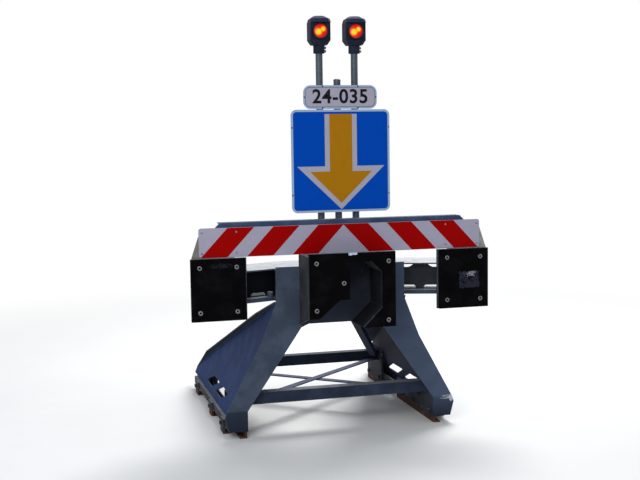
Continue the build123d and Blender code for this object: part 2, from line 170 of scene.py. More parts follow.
def marked(material, tone, pattern, *sizes, **more):
    """Lays a mark of another colour over a finish, where a pattern of the given sizes is 1."""
    tree = material.node_tree
    shader = tree.nodes["Principled BSDF"]
    place = tree.nodes["Texture Coordinate"].outputs["Object"]
    mask = pattern(tree, place, *sizes, **more)
    under = shader.inputs["Base Color"].links[0].from_socket
    over = add(tree, "ShaderNodeMix", {0: mask, 6: under, 7: colour(tone)}, data_type="RGBA")
    fill(tree, shader, {"Base Color": over})


def finish_nodes(material, *names):
    """Gives CAD nodes their finish."""
    for name in names:
        nodes[name].data.materials.clear()
        nodes[name].data.materials.append(material)


def in_scene(name, data):
    """A new object in the scene that shows a mesh, a text, a lamp or a camera."""
    thing = bpy.data.objects.new(name, data)
    bpy.context.scene.collection.objects.link(thing)
    return thing


def keep_piece(name, mesh, slot, *stands_for):
    """Adds a finished mesh as a piece of the object."""
    piece = in_scene(name, mesh)
    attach(piece, "root")
    if stands_for:
        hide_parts(*stands_for)
    return piece


def closed(name, shape):
    """The mesh of a closed shape with its faces pointing outwards."""
    bmesh.ops.recalc_face_normals(shape, faces=shape.faces[:])
    mesh = bpy.data.meshes.new(name)
    shape.to_mesh(mesh)
    shape.free()
    return mesh


def turned(name, *parts):
    """Closed solids round the Z axis: each is a number of sides and its (radius, height) rings."""
    shape = bmesh.new()
    for sides, rings in parts:
        loops = []
        for radius, height in rings:
            angles = [2 * pi * (i + 0.5) / sides for i in range(sides)]
            loops.append([shape.verts.new((radius * cos(a), radius * sin(a), height))
                          for a in angles])
        for low, high in zip(loops, loops[1:]):
            for i in range(sides):
                j = (i + 1) % sides
                shape.faces.new((low[i], low[j], high[j], high[i]))
        shape.faces.new(list(reversed(loops[0])))
        shape.faces.new(loops[-1])
    return closed(name, shape)


def new_tree(name, sizes):
    """A Geometry Nodes tree with a geometry input and output and named inputs."""
    tree = bpy.data.node_groups.new(name, "GeometryNodeTree")
    tree.interface.new_socket("Geometry", in_out="INPUT", socket_type="NodeSocketGeometry")
    for label, kind in sizes.items():
        tree.interface.new_socket(label, in_out="INPUT", socket_type="NodeSocket" + kind)
    tree.interface.new_socket("Geometry", in_out="OUTPUT", socket_type="NodeSocketGeometry")
    return tree, tree.nodes.new("NodeGroupInput").outputs


def finish_tree(tree, shape, finish):
    """Ends a tree: what it made becomes real and gets its material."""
    real = add(tree, "GeometryNodeRealizeInstances", {"Geometry": shape})
    coated = add(tree, "GeometryNodeSetMaterial", {"Geometry": real, "Material": finish})
    add(tree, "NodeGroupOutput", {"Geometry": coated})


def plain_mesh(thing, name):
    """The mesh that an object's modifiers make. The object itself is removed."""
    bpy.context.view_layer.update()
    made = thing.evaluated_get(bpy.context.evaluated_depsgraph_get())
    mesh = bpy.data.meshes.new_from_object(made)
    mesh.name = name
    thing.modifiers.clear()
    bpy.data.objects.remove(thing)
    return mesh


def grown(name, points, edges, tree, values):
    """The plain mesh that a tree makes from points and edges."""
    start = bpy.data.meshes.new(name)
    start.from_pydata(points, edges, [])
    carrier = in_scene(name, start)
    grower = carrier.modifiers.new("grow", "NODES")
    grower.node_group = tree
    for item in tree.interface.items_tree:
        if item.in_out == "INPUT" and item.name in values:
            grower[item.identifier] = values[item.name]
    return plain_mesh(carrier, name)


RIGHT, LEFT = (0, pi / 2, 0), (0, -pi / 2, 0)
fixing_tree, given = new_tree("fixings", {"Fixing": "Object", "Facing": "Vector", "Turn": "Float",
                                          "Seed": "Int", "Finish": "Material"})
one = add(fixing_tree, "GeometryNodeObjectInfo", {"Object": given["Fixing"]}).outputs["Geometry"]
turn = add(fixing_tree, "FunctionNodeRandomValue", {3: given["Turn"], "Seed": given["Seed"]},
           data_type="FLOAT")
twist = add(fixing_tree, "ShaderNodeCombineXYZ", {"Z": turn})
set_out = add(fixing_tree, "GeometryNodeInstanceOnPoints", {
    "Points": given["Geometry"], "Instance": one, "Rotation": given["Facing"]})
twisted = add(fixing_tree, "GeometryNodeRotateInstances", {
    "Instances": set_out, "Rotation": twist, "Local Space": True})
finish_tree(fixing_tree, twisted, given["Finish"])


def fixings(name, mesh, groups, finish, slot, seed):
    """One piece of like fixings: groups are (facing, places) of the fixing's seat."""
    pattern = in_scene(name + "_one", mesh)
    whole = bmesh.new()
    for facing, places in groups:
        whole.from_mesh(grown(name, places, [], fixing_tree, {
            "Fixing": pattern, "Facing": facing, "Turn": pi / 3, "Seed": seed, "Finish": finish}))
    joined = bpy.data.meshes.new(name)
    whole.to_mesh(joined)
    whole.free()
    joined.materials.append(finish)
    bpy.data.objects.remove(pattern)
    return keep_piece(name, joined, slot)


def mirrored(places):
    """The same places on the left."""
    return [(-x, *rest) for x, *rest in places]


worn_paint = weathered_paint("worn_alkyd_paint_on_rusting_plate", "#2C2F36", "#3A3E46", "#1D1F23",
                             -0.02, 0.13)
marked(worn_paint, "#5C5E60", patches, 0.045, 0.58, 0.66, detail=7.0)
finish_nodes(worn_paint, "rail_shoe_left", "rail_shoe_right", "inner_jaws_left", "inner_jaws_right",
             "outer_jaws_left", "outer_jaws_right", "rail_hooks_left", "rail_hooks_right")
m20_bolt = turned("m20_bolt", (24, [(0.0185, 0.0), (0.0185, 0.003)]),
                  (6, [(0.0173, 0.003), (0.0173, 0.0145), (0.0152, 0.0165)]))
inner_x = -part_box("inner_jaws_right")[0].x
outer_low, outer_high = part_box("outer_jaws_right")
bar_end_bolts = ((-0.430, 0.150), (0.560, 0.225))
inner_row, inner_row_z = (-0.66, -0.30, -0.06, 0.52, 0.80), 0.068
outer_steps, outer_row_z = (0.06, 0.57, 1.27), 0.070
inner_bolts = [(inner_x, y, z) for y, z in bar_end_bolts]
inner_bolts += [(inner_x, y, inner_row_z) for y in inner_row]
outer_bolts = [(outer_high.x, outer_low.y + step, outer_row_z) for step in outer_steps]
fixings("jaw_bolts", m20_bolt, [(RIGHT, inner_bolts), (LEFT, mirrored(inner_bolts)),
                                (RIGHT, outer_bolts), (LEFT, mirrored(outer_bolts))],
        worn_paint, "frame_paint", 3)

# Legs: each is one 10 mm plate folded along the slanted edge into a front face and a side web.
# The web leans inwards and has two slanted windows, and a wide cover plate is welded along its top.
# Mid grey paint, with a bluer copy on the webs that is painted sky light, and with scratches and a
# splash of white marking paint.


def toward(tree, place, axis, start, end, most):
    """A mask that rises along an axis, from 0 at start to most at end, in metres."""
    along = add(tree, "ShaderNodeSeparateXYZ", {0: place}).outputs[axis]
    return add(tree, "ShaderNodeMapRange", {"Value": along, "From Min": start, "From Max": end,
                                            "To Max": most})


def blot(tree, place, middle, reach, grain, low=0.42, high=0.56, stretch=(1, 1, 1)):
    """A mask of broken marks inside an ellipsoid round a point, all in metres."""
    offset = add(tree, "ShaderNodeVectorMath", {0: place, 1: middle}, operation="SUBTRACT")
    scaled = add(tree, "ShaderNodeVectorMath", {0: offset, 1: reach}, operation="DIVIDE")
    far = add(tree, "ShaderNodeVectorMath", {0: scaled}, operation="LENGTH")
    inside = add(tree, "ShaderNodeMapRange", {"Value": far, "From Min": 1.0, "From Max": 0.75})
    broken = patches(tree, place, grain, low, high, stretch)
    return add(tree, "ShaderNodeMath", {0: inside, 1: broken}, operation="MULTIPLY")


leg_front, leg_edge = -0.750, 0.464
leg_paint = weathered_paint("alkyd_paint_on_folded_plate", "#3B4453", "#485263", "#262D3B",
                            -0.10, 0.13, splashed=0.186, rain=0.64)
# Painted sky light: bluer from x = 0.25 m to the right.
marked(leg_paint, "#4B5871", toward, "X", 0.25, 0.35, 0.45)
marked(leg_paint, "#1F2533", toward, "Z", 0.20, 0.06, 0.85)
# White marking paint on the right foot, and a scratch down the left face beside the centre box.
marked(leg_paint, "#A4A7B4", blot, (0.772, leg_front, 0.186), (0.062, 0.02, 0.016), 0.020,
       stretch=(2.5, 1, 0.7))
marked(leg_paint, "#B4B7C2", blot, (0.815, leg_front, 0.178), (0.018, 0.02, 0.030), 0.020,
       0.30, 0.45)
marked(leg_paint, "#848992", blot, (-0.294, leg_front, 0.850), (0.008, 0.02, 0.110), 0.012,
       0.40, 0.55, stretch=(1, 1, 2))
for side in (-1, 1):
    # Painted shade: the leg's narrow side is nearly black inside the crossbeam's bays.
    marked(leg_paint, "#07080C", blot, (side * leg_edge, -0.66, 1.11), (0.012, 0.088, 0.30), 0.020,
           0.0, 0.1)
# Painted sky light: the webs are the faces' paint in a bluer copy.
web_paint = weathered_paint("alkyd_paint_on_side_webs", "#203054", "#2A3A61", "#1A2542",
                            -0.08, 0.16, rain=0.60)
marked(web_paint, "#1B3466", toward, "Z", 0.45, 0.10, 0.5)
marked(web_paint, "#55648C", patches, 0.014, 0.735, 0.77, stretch=(1, 9, 5))
finish_nodes(leg_paint, "leg_face_left", "leg_face_right")
finish_nodes(web_paint, "side_web_left", "side_web_right")


def moulded_copy(name, node, edge, finish, slot, pits=(), trim=None, moved=None):
    """A copy of a CAD node with rounded edges, round pits cut into its front, its corners put where
    moved says, and all beyond the plane of trim, a point and its outward direction, cut off."""
    pit_radius, pit_depth = 0.0172, 0.004
    shape = bmesh.new()
    shape.from_mesh(nodes[node].data)
    bmesh.ops.remove_doubles(shape, verts=shape.verts[:], dist=0.00002)
    bmesh.ops.dissolve_limit(shape, angle_limit=radians(1), verts=shape.verts[:],
                             edges=shape.edges[:])
    if moved:
        for corner in shape.verts:
            corner.co = moved(*corner.co)
    if trim:
        cut = bmesh.ops.bisect_plane(shape, geom=shape.verts[:] + shape.edges[:] + shape.faces[:],
                                     plane_co=trim[0], plane_no=trim[1], clear_outer=True)
        bmesh.ops.edgenet_fill(shape, edges=[edge_cut for edge_cut in cut["geom_cut"]
                                             if isinstance(edge_cut, bmesh.types.BMEdge)])
        bmesh.ops.recalc_face_normals(shape, faces=shape.faces[:])
    mesh = bpy.data.meshes.new(name)
    shape.to_mesh(mesh)
    shape.free()
    model = in_scene(name, mesh)
    tool = None
    if pits:
        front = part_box(node)[0].y
        cutter = bmesh.new()
        for x, z in pits:
            spot = Matrix.Translation((x, front, z)) @ Matrix.Rotation(pi / 2, 4, "X")
            bmesh.ops.create_cone(cutter, cap_ends=True, segments=32, radius1=pit_radius,
                                  radius2=pit_radius, depth=2 * pit_depth, matrix=spot)
        cutter_mesh = bpy.data.meshes.new(name + "_pits")
        cutter.to_mesh(cutter_mesh)
        cutter.free()
        tool = in_scene(name + "_pits", cutter_mesh)
        drill = model.modifiers.new("pits", "BOOLEAN")
        drill.object = tool
        drill.operation = "DIFFERENCE"
        drill.solver = "EXACT"
    rounded = model.modifiers.new("edges", "BEVEL")
    rounded.width = edge
    rounded.segments = 3
    rounded.limit_method = "ANGLE"
    rounded.angle_limit = radians(35)
    made = plain_mesh(model, name)
    if tool:
        bpy.data.objects.remove(tool)
    made.materials.clear()
    made.materials.append(finish)
    return keep_piece(name, made, slot, node)


for side, hand in ((-1, "left"), (1, "right")):
    # The outer front corner is cut back to the leg's edge, and reaches full width 0.3 m behind it.
    moulded_copy("cover_plate_" + hand, "top_flange_" + hand, 0.0012, leg_paint, "frame_paint",
                 trim=((side * (leg_edge + 0.010), leg_front, 0.0), (side * 0.9654, -0.2607, 0.0)))

# Bars, braces and struts: square tubes between the jaws, flat bars that cross between them, and a
# square tube under each cover plate's inner edge, from the centre box down to the rear bar.
bar_paint = weathered_paint("alkyd_paint_on_square_tube", "#293040", "#353D4F", "#1E232E",
                            0.0, 0.20)
# Painted shade: darker towards the rear bar.
marked(bar_paint, "#161A24", toward, "Y", -0.2, 0.2, 0.55)
brace_paint = weathered_paint("alkyd_paint_on_flat_braces", "#2C3658", "#39456A", "#20273D",
                              0.0, 0.20, top_dust_and_highlight=0.35)
finish_nodes(bar_paint, "front_bar", "rear_bar")
finish_nodes(leg_paint, "rear_strut_left", "rear_strut_right")
finish_nodes(brace_paint, "brace_lower", "brace_upper")

# Crossbeam: two flanges flame-cut from 10 mm plate and a notched web between them, welded all
# along. Its arms sweep forward to the buffer plates. The same grey paint, with dust and a painted
# sunlit highlight on top, darker copies on the bottom plate and the web for painted shade, and
# painted shade darkest in the left bay.
# Painted light: a darker copy for the bottom plate's shaded front, with a pale top tone that is
# dust and a painted sunlit highlight.
beam_paint = weathered_paint("alkyd_paint_on_crossbeam", "#232C3F", "#2E384E", "#1A1F2B", -0.2, 0.0,
                             top_dust_and_highlight=0.95, top_dust_and_highlight_tone="#D2D5D9", gloss=0.5)
beam_top_paint = weathered_paint("alkyd_paint_on_crossbeam_top", "#3A4150", "#474F5E", "#2A2E36",
                                 -0.2, 0.0, top_dust_and_highlight=0.95, top_dust_and_highlight_tone="#C6C9CD", gloss=0.5)
# Painted shade: the web and the buffer brackets get a darker copy for the shade under the top
# plate.
beam_web_paint = weathered_paint("alkyd_paint_on_crossbeam_web", "#2E3238", "#3A3E44", "#1B1D21",
                                 -0.2, 0.0)
# Painted shade, darkest in the left bay.
marked(beam_web_paint, "#050609", toward, "X", -0.2, -0.4, 0.93)
finish_nodes(beam_paint, "beam_bottom_plate")
finish_nodes(beam_top_paint, "beam_top_plate")
finish_nodes(beam_web_paint, "buffer_bracket_left", "buffer_bracket_right")
web_low, web_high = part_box("beam_web")
web_knee, web_thick = leg_edge, 0.012
notch_shift = 0.050
# The left arm's notches lie between the knee and these ends, above and below these heights.
upper_end, upper_from = -0.57, 1.12
lower_end, lower_to = -0.75, 1.00


def left_arm(x, y, z):
    """In the left arm the low notches lie 50 mm further out and the inner upper one isn't there."""
    spot = Vector((x, y, z))
    knee = Vector((-web_knee, web_high.y - web_thick, 0))
    along_arm = Vector((-web_high.x, web_low.y, 0)) - knee
    if upper_end < x < -web_knee and z > upper_from:
        spot.z = web_high.z
    elif lower_end < x < -web_knee - 0.002 and z < lower_to:
        spot += along_arm * (notch_shift / (web_high.x - web_knee))
    return spot


moulded_copy("crossbeam_web", "beam_web", 0.0008, beam_web_paint, "frame_paint", moved=left_arm)

weld_tree, given = new_tree("weld_beads", {"Size": "Float", "Ripple": "Float", "Seed": "Int",
                                           "Finish": "Material"})
line = add(weld_tree, "GeometryNodeMeshToCurve", {"Mesh": given["Geometry"]})
stepped = add(weld_tree, "GeometryNodeResampleCurve", {"Curve": line, "Length": given["Ripple"]},
              mode="LENGTH")
uneven = add(weld_tree, "FunctionNodeRandomValue", {2: 0.78, 3: 1.12, "Seed": given["Seed"]},
             data_type="FLOAT")
swell = add(weld_tree, "GeometryNodeSetCurveRadius", {"Curve": stepped, "Radius": uneven})
round_wire = add(weld_tree, "GeometryNodeCurvePrimitiveCircle", {"Resolution": 8,
                                                                 "Radius": given["Size"]})
bead = add(weld_tree, "GeometryNodeCurveToMesh", {"Curve": swell, "Profile Curve": round_wire,
                                                  "Fill Caps": True})
finish_tree(weld_tree, bead, given["Finish"])


def welds(name, lines, finish, seed):
    """Weld beads along lines, each with its mirror image on the left. The ripple of a real bead is
    about 1 mm apart and is drawn 7 mm apart, so that it shows."""
    bead_radius, ripple = 0.004, 0.007
    points, edges = [], []
    for run in lines + [mirrored(seam) for seam in lines]:
        edges += [(len(points) + i, len(points) + i + 1) for i in range(len(run) - 1)]
        points += run
    mesh = grown(name, points, edges, weld_tree, {"Size": bead_radius, "Ripple": ripple,
                                                  "Seed": seed, "Finish": finish})
    return keep_piece(name, mesh, "frame_paint")


swept_thick = web_thick / cos(atan2(web_high.y - web_thick - web_low.y, web_high.x - web_knee))
beam_lines = []
for joint_z in (web_low.z + 0.003, web_high.z - 0.003):
    beam_lines.append([(0.0, web_high.y, joint_z), (web_knee, web_high.y, joint_z),
                       (web_high.x, web_low.y + swept_thick, joint_z)])
welds("crossbeam_welds", beam_lines, beam_web_paint, 4)
UP = (0, 0, 0)
stub = turned("lifting_stub", (24, [(0.023, 0.0), (0.023, 0.030), (0.021, 0.033), (0.012, 0.035)]))
flange_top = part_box("beam_bottom_plate")[1].z
fixings("lifting_stub", stub, [(UP, [(-0.492, -0.690, flange_top)])], beam_paint, "frame_paint", 2)

# Welds on the legs: cover plate to web, web to shoe, and the bars to the jaws all round.
# Single-run fillet beads, about 6 mm wide and painted over.
cover_seam = [(0.4655, -0.735, 0.928), (0.6930, 0.690, 0.340), (0.7660, 1.025, 0.153)]
shoe_low, shoe_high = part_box("rail_shoe_right")
web_foot_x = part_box("side_web_right")[1].x
foot_seam = [(web_foot_x, y, shoe_high.z + 0.001)
             for y in (shoe_low.y + 0.010, shoe_high.y - 0.005)]
bar_seams = []
for bar in ("front_bar", "rear_bar"):
    low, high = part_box(bar)
    round_tube = ((low.y, low.z), (low.y, high.z), (high.y, high.z), (high.y, low.z),
                  (low.y, low.z))
    bar_seams.append([(high.x - 0.001, y, z) for y, z in round_tube])
box_seam = [(0.3015, leg_front - 0.0015, z) for z in (0.790, 1.170)]
welds("cover_plate_welds", [cover_seam], leg_paint, 21)
welds("web_foot_welds", [foot_seam], web_paint, 22)
welds("bar_welds", bar_seams, bar_paint, 23)
welds("leg_face_welds", [box_seam], leg_paint, 24)

# Buffer plates and pads: a steel plate at each arm's end, and on it a pad of black rubber
# moulded in one sheet and held by four zinc-plated socket screws sunk into it.
# The pads are scuffed, and a torn remnant of pale tape clings to the right one.
plate_paint = weathered_paint("alkyd_paint_on_buffer_plates", "#3A3F4A", "#4A4F5A", "#26292F",
                              -0.2, 0.0)
finish_nodes(plate_paint, "buffer_plate_left", "buffer_plate_right")


def mottled(name, tone, other, size, low, high, roughness, metallic=0.0, gloss=0.5,
            stretch=(1, 1, 1)):
    """A material that wanders between two tones, in patches about as large as size in metres."""
    material, shader, place = new_finish(name, tone, roughness, metallic, gloss)
    tree = material.node_tree
    wandering = add(tree, "ShaderNodeMix", {0: patches(tree, place, size, low, high, stretch),
                                            6: colour(tone), 7: colour(other)}, data_type="RGBA")
    fill(tree, shader, {"Base Color": wandering})
    return material


def facing_up(tree, place, low=0.6, high=1.0):
    """A mask of what faces the sky, which starts at a low and is full at a high share of up."""
    facing = add(tree, "ShaderNodeNewGeometry").outputs["Normal"]
    upward = add(tree, "ShaderNodeSeparateXYZ", {0: facing}).outputs["Z"]
    return add(tree, "ShaderNodeMapRange", {"Value": upward, "From Min": low, "From Max": high})


def dust_and_sky_highlight(tree, place):
    """A mask of dust and painted sky highlight, lying unevenly on upper edges."""
    uneven = patches(tree, place, 0.10, 0.25, 0.55)
    return add(tree, "ShaderNodeMath", {0: facing_up(tree, place), 1: uneven}, operation="MULTIPLY")


def torn(tree, place, middle, half, grain, low, high):
    """A mask of what is left of a rectangle of tape: ragged at its edges and torn in places."""
    ragged = add(tree, "ShaderNodeTexNoise", {"Vector": place, "Scale": 60.0, "Detail": 4.0})
    shaken = add(tree, "ShaderNodeVectorMath", {0: ragged.outputs["Color"], 1: (0.5, 0.5, 0.5)},
                 operation="SUBTRACT")
    drawn = add(tree, "ShaderNodeVectorMath", {0: shaken, "Scale": 0.030}, operation="SCALE")
    near = add(tree, "ShaderNodeVectorMath", {0: place, 1: drawn}, operation="ADD")
    offset = add(tree, "ShaderNodeVectorMath", {0: near, 1: middle}, operation="SUBTRACT")
    scaled = add(tree, "ShaderNodeVectorMath", {0: offset, 1: half}, operation="DIVIDE")
    away = add(tree, "ShaderNodeVectorMath", {0: scaled}, operation="ABSOLUTE")
    apart = add(tree, "ShaderNodeSeparateXYZ", {0: away}).outputs
    furthest = add(tree, "ShaderNodeMath", {0: apart["X"], 1: apart["Z"]}, operation="MAXIMUM")
    inside = add(tree, "ShaderNodeMath", {0: furthest, 1: 1.0}, operation="LESS_THAN")
    left_on = patches(tree, place, grain, low, high)
    return add(tree, "ShaderNodeMath", {0: inside, 1: left_on}, operation="MULTIPLY")


pad_front, centre_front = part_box("buffer_pad_right")[0].y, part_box("centre_pad")[0].y
rubber = mottled("moulded_black_rubber", "#040405", "#0D0D10", 0.09, 0.42, 0.75, 0.75, gloss=0.03)
marked(rubber, "#1E1E23", patches, 0.012, 0.70, 0.78, stretch=(6, 6, 0.6))
# Dust and a painted sky highlight on the pads' upper edges.
marked(rubber, "#7C8694", dust_and_sky_highlight)
marked(rubber, "#222228", blot, (-0.856, pad_front, 1.217), (0.085, 0.05, 0.020), 0.012,
       stretch=(0.7, 1, 2))
marked(rubber, "#272932", torn, (0.915, pad_front, 1.045), (0.074, 1.0, 0.060), 0.024, 0.36, 0.50)
marked(rubber, "#8A8D97", torn, (0.931, pad_front, 1.082), (0.031, 1.0, 0.016), 0.012, 0.42, 0.52)
marked(rubber, "#4A4D55", torn, (0.878, pad_front, 1.080), (0.026, 1.0, 0.012), 0.008, 0.52, 0.60)
# Painted highlight: a small pale blue patch near the top middle of the centre pad.
marked(rubber, "#B9C4DA", torn, (0.0, centre_front, 1.286), (0.030, 1.0, 0.010), 0.030, 0.10, 0.20)
tree = rubber.node_tree
place = tree.nodes["Texture Coordinate"].outputs["Object"]
# The moulded grain is under 1 mm wide and is drawn 4 mm wide, so that it shows.
grain = add(tree, "ShaderNodeTexNoise", {"Vector": place, "Scale": 260.0, "Detail": 3.0})
dimples = add(tree, "ShaderNodeBump", {"Strength": 0.3, "Distance": 0.0007, "Height": grain})
fill(tree, tree.nodes["Principled BSDF"], {"Normal": dimples})

zinc = mottled("zinc_plated_steel", "#828488", "#5C5D60", 0.012, 0.4, 0.7, 0.5, metallic=1.0)
FRONT = (pi / 2, 0, 0)
socket_screw = turned("socket_screw", (28, [(0.0152, -0.006), (0.0152, -0.0006), (0.0143, 0.0),
                                            (0.0080, 0.0), (0.0074, -0.0006), (0.0070, -0.005)]))
# Painted shade: a black rubber disc deep in each screw's socket.
socket_shade_disc = turned("socket_shade_disc", (6, [(0.0076, -0.0048), (0.0076, -0.0012)]))
pad_x, pad_z = 0.875, 1.055
bolt_across, bolt_up = 0.125, 0.150
pad_spots = [(pad_x + across, pad_z + up)
             for across in (-bolt_across, bolt_across) for up in (-bolt_up, bolt_up)]
for side, hand in ((-1, "left"), (1, "right")):
    moulded_copy("rubber_pad_" + hand, "buffer_pad_" + hand, 0.003, rubber, "pad_rubber",
                 [(side * x, z) for x, z in pad_spots])
seat_y = pad_front - 0.0002
screw_seats = [(FRONT, [(side * x, seat_y, z) for x, z in pad_spots for side in (-1, 1)])]
fixings("pad_screws", socket_screw, screw_seats, zinc, "bare_steel", 5)
fixings("pad_sockets", socket_shade_disc, screw_seats, rubber, "pad_rubber", 15)

# Centre box: front plate, roof, sides and back of 12 mm plate, with a pad on its front.
# The pocket for a coupling hook is open below. Its walls are painted darkest for the shade in it,
# and the back is painted lighter towards its foot, where light comes in from below.
box_paint = weathered_paint("alkyd_paint_on_centre_box", "#2D2F35", "#393B42", "#202226", -0.2, 0.0)
# Painted shade: the pocket walls get a darker copy of the box paint.
pocket_paint = weathered_paint("alkyd_paint_on_pocket_walls", "#17181B", "#222327", "#101113",
                               -0.2, 0.0)
back_paint = weathered_paint("alkyd_paint_on_box_back", "#20242C", "#2E333D", "#16181D", -0.2, 0.0)
# Painted light: the back is lighter towards its foot.
marked(back_paint, "#343945", toward, "Z", 1.10, 0.80, 0.8)
finish_nodes(box_paint, "box_front", "box_roof", "box_sides")
finish_nodes(pocket_paint, "pocket_wall")
finish_nodes(back_paint, "box_back")
centre_spots = [(-0.251, 1.225), (0.252, 1.225), (-0.062, 1.087), (-0.252, 0.909), (0.249, 0.824)]
moulded_copy("rubber_pad_centre", "centre_pad", 0.003, rubber, "pad_rubber", centre_spots)
seat_y = centre_front + 0.0006
fixings("centre_screws", socket_screw, [(FRONT, [(x, seat_y, z) for x, z in centre_spots])],
        zinc, "bare_steel", 6)
box_low, box_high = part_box("box_sides")
front_seam_foot, back_seam_foot = 0.856, 0.780
welds("box_welds", [[(box_high.x, y, box_high.z), (box_high.x, y, foot)]
                    for y, foot in ((box_low.y, front_seam_foot), (box_high.y, back_seam_foot))],
      box_paint, 7)

# Marker board: 3 mm sheet with rounded corners, screwed to a folded channel behind it, with a bare
# steel gusset at each end. White reflective film covers it, and red film is laid over that in
# stripes that fall outwards.


def reflective_film(name, base, deep, grime_from=0.68):
    """Prismatic reflective sheeting: a clear smooth face over small cells. The cells are 3 mm wide
    on the real film and drawn 9 mm wide, so that they show as a faint sparkle."""
    material, shader, place = new_finish(name, base, 0.45, gloss=0.03)
    tree = material.node_tree
    cells = add(tree, "ShaderNodeTexVoronoi", {"Vector": place, "Scale": 110.0})
    faint = add(tree, "ShaderNodeMapRange", {"Value": cells, "To Max": 0.5})
    mixed = add(tree, "ShaderNodeMath", {0: faint, 1: patches(tree, place, 0.05, 0.40, 0.80)},
                operation="MULTIPLY")
    tone = add(tree, "ShaderNodeMix", {0: mixed, 6: colour(base), 7: colour(deep)},
               data_type="RGBA")
    fill(tree, shader, {"Base Color": tone})
    marked(material, "#7B7873", patches, 0.07, grime_from, grime_from + 0.27, stretch=(1, 1, 3))
    return material


film_thick = 0.0004


def film_shapes(name, outlines, front, finish, slot):
    """Flat shapes of film with outlines in X and Z, laid on a surface whose front is at Y front."""
    shape = bmesh.new()
    for outline in outlines:
        area = sum(a[0] * b[1] - b[0] * a[1] for a, b in zip(outline, outline[1:] + outline[:1]))
        ring = outline if area > 0 else outline[::-1]
        face, back = [[shape.verts.new((x, y, z)) for x, z in ring]
                      for y in (front - film_thick, front)]
        shape.faces.new(face)
        shape.faces.new(back[::-1])
        for i in range(len(ring)):
            shape.faces.new((face[i - 1], back[i - 1], back[i], face[i]))
    mesh = closed(name, shape)
    mesh.materials.append(finish)
    return keep_piece(name, mesh, slot)


def rounded_sheet(low, high, margin, radius, inset):
    """A sheet's outline with round corners, margin inside its edge, and drawn in again by inset."""
    x0, x1, z0, z1 = low.x + margin, high.x - margin, low.z + margin, high.z - margin
    outline = []
    for x, z, start in ((x1 - radius, z1 - radius, 0), (x0 + radius, z1 - radius, 90),
                        (x0 + radius, z0 + radius, 180), (x1 - radius, z0 + radius, 270)):
        for step in range(9):
            angle = radians(start + step * 90 / 8)
            outline.append((x + (radius - inset) * cos(angle), z + (radius - inset) * sin(angle)))
    return outline


aluminium = mottled("mill_finish_aluminium_sheet", "#96999E", "#7A7D82", 0.05, 0.35, 0.70, 0.5,
                    metallic=0.8, stretch=(1, 1, 5))
white_film = reflective_film("white_reflective_film", "#A19DAF", "#928FA1")
red_film = reflective_film("red_reflective_film", "#970201", "#840201")
board_low, board_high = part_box("marker_board")
finish_nodes(aluminium, "marker_board")
sheet_inset = 0.0008
film_shapes("white_field", [rounded_sheet(board_low, board_high, 0.0, 0.025, sheet_inset)],
            board_low.y, white_film, "board_face")
bands = []
band_low, band_high = board_low.z + 0.002, board_high.z - 0.002
lean, band_width, band_pitch, first_band = 0.94, 0.181, 0.314, 0.180
for count in range(3):
    start = first_band + count * band_pitch
    drift = lean * (band_high - band_low)
    band = [(start, band_low), (start + band_width, band_low),
            (start + band_width - drift, band_high)]
    if start > drift:
        band.append((start - drift, band_high))
    else:
        band += [(0.0, band_high), (0.0, band_low + start / lean)]
    bands += [band, mirrored(band)]
film_shapes("red_stripes", bands, board_low.y - film_thick, red_film, "board_face")
board_screw = turned("board_screw", (16, [(0.0065, 0.0), (0.0062, 0.002), (0.0042, 0.0035),
                                          (0.0015, 0.0038)]))
screw_columns, screw_rows = (0.745, 0.979), (1.299, 1.439)
board_spots = [(side * x, board_low.y, z)
               for side in (-1, 1) for x in screw_columns for z in screw_rows]
fixings("board_screws", board_screw, [(FRONT, board_spots)], zinc, "bare_steel", 8)
steel = mottled("bare_hot_rolled_steel", "#95958F", "#6F706E", 0.04, 0.35, 0.75, 0.5, metallic=0.6)
marked(steel, "#5A5856", toward, "X", -0.8, -1.0, 0.6)
finish_nodes(steel, "board_gusset_left", "board_gusset_right")
# Painted sky light: the carrier is the frame's grey paint in a bluer tone.
carrier_paint = weathered_paint("alkyd_paint_on_board_carrier", "#34425E", "#42506D", "#262F43",
                                -0.2, 0.0, top_dust_and_highlight=0.15)
finish_nodes(carrier_paint, "board_carrier")

# Posts: three hot-dip galvanised tubes welded to the top of the crossbeam behind the board, with
# bolted pipe clamps for the signs. The zinc shows dull grey spangles about 12 mm across. A pressed
# cap closes the middle post.
galvanised, shader, place = new_finish("hot_dip_galvanised_steel", "#4C545F", 0.55, 0.6)
tree = galvanised.node_tree
spangle = add(tree, "ShaderNodeTexVoronoi", {"Vector": place, "Scale": 85.0}).outputs["Color"]
spangled = add(tree, "ShaderNodeMix", {0: spangle, 6: colour("#525A65"), 7: colour("#3E454F")},
               data_type="RGBA")
fill(tree, shader, {"Base Color": spangled})
finish_nodes(galvanised, "sign_posts", "sign_clamps")
posts_low, posts_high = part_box("sign_posts")
post_x, post_radius = 0.125, 0.02415
post_y = (posts_low.y + posts_high.y) / 2
cap_inner, cap_outer = post_radius - 0.004, post_radius + 0.001
post_cap = turned("post_cap", (28, [(cap_inner, -0.006), (cap_inner, 0.0), (cap_outer, 0.0),
                                    (cap_outer, 0.008), (cap_inner, 0.013), (0.006, 0.015)]))
middle_post_top = 2.443
fixings("post_cap", post_cap, [(UP, [(0.0, post_y, middle_post_top)])], galvanised, "galvanised", 9)
clamp_bolt = turned("clamp_bolt", (20, [(0.009, 0.0), (0.009, 0.0016)]),
                    (6, [(0.0075, 0.0016), (0.0075, 0.007), (0.0064, 0.008)]))
lug_y, lug_half = -0.766, 0.020
clamp_heights = (1.667, 2.127, 2.331)
clamp_spots = [(x, z) for x in (-post_x, post_x) for z in clamp_heights]
